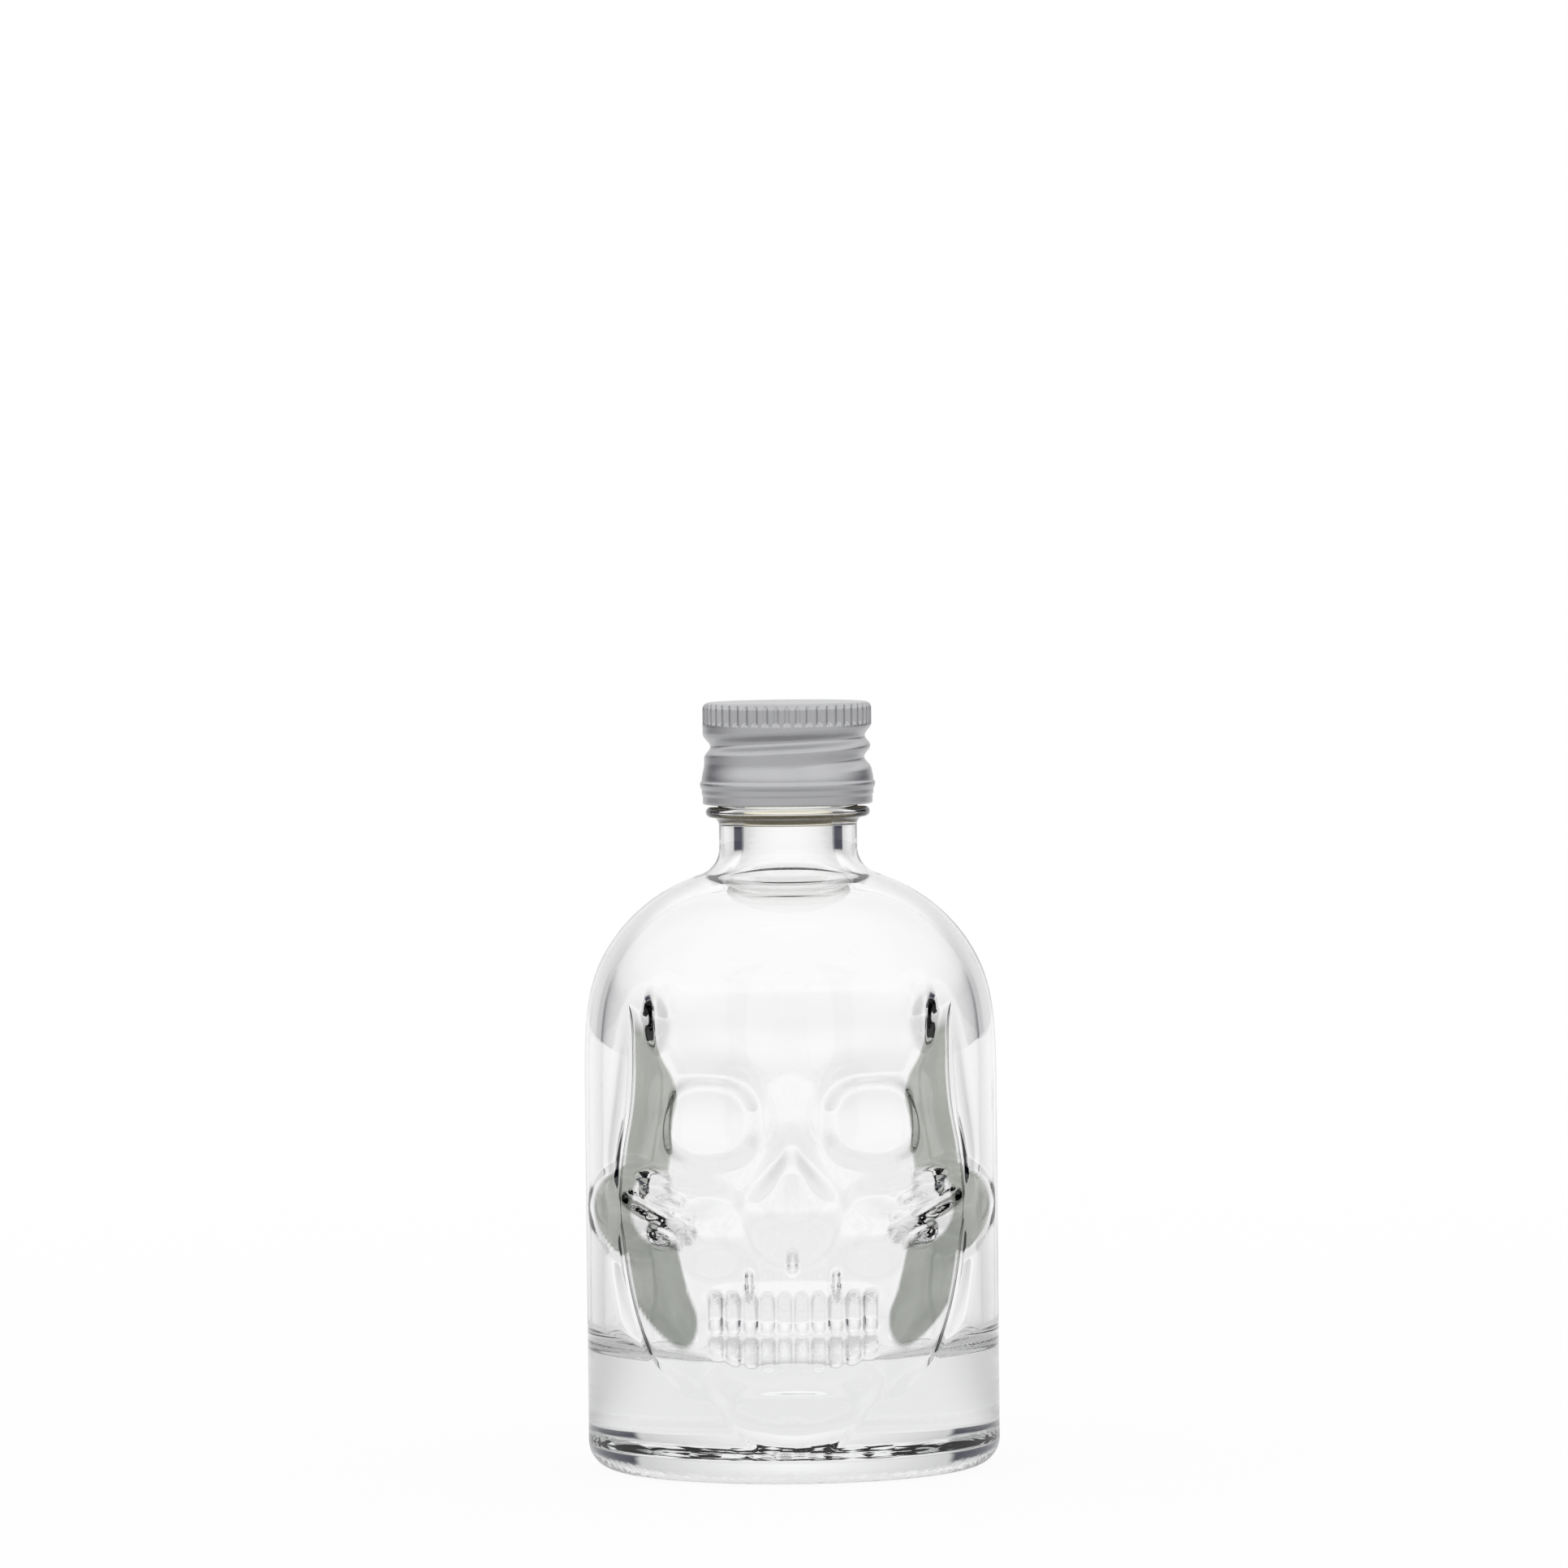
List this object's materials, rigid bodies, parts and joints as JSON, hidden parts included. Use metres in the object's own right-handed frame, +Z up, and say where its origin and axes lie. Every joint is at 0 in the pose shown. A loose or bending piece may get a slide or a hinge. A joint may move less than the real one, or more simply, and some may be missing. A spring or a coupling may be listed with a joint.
{
  "type": "skull bottle",
  "caption": "Small round clear glass bottle with a skull moulded into its front and a knurled aluminium screw cap.",
  "frame": {"origin": "middle of the base, on the plane that the bottle stands on", "axes": "+Z up along the bottle's axis, the skull's face towards -Y, +X to the right of someone who looks at the face"},
  "size_m": [0.0444, 0.0444, 0.0825],
  "materials": {
    "clear_glass": "clear flint glass with a faint grey-green tint where it is thick",
    "satin_aluminium": "satin, lacquered, slightly grey",
    "liner_foam": "matt white foamed plastic sheet"
  },
  "bodies": {
    "bottle": {"glass_bottle": "clear_glass"},
    "liner": {"cap_liner": "liner_foam"},
    "cap": {"cap_shell": "satin_aluminium"}
  },
  "joints": [
    {"name": "cap_lift", "type": "slide", "parent": "bottle", "child": "liner", "axis": [0, 0, 1], "range_m": [0, 0.012]},
    {"name": "cap_turn", "type": "hinge", "parent": "liner", "child": "cap", "pos_m": [0, 0, 0.0715], "axis": [0, 0, 1], "range_deg": [0, 1802]}
  ],
  "couplings": [
    {"joint": "cap_turn", "follows": "cap_lift", "rad_per_m": 2618}
  ]
}
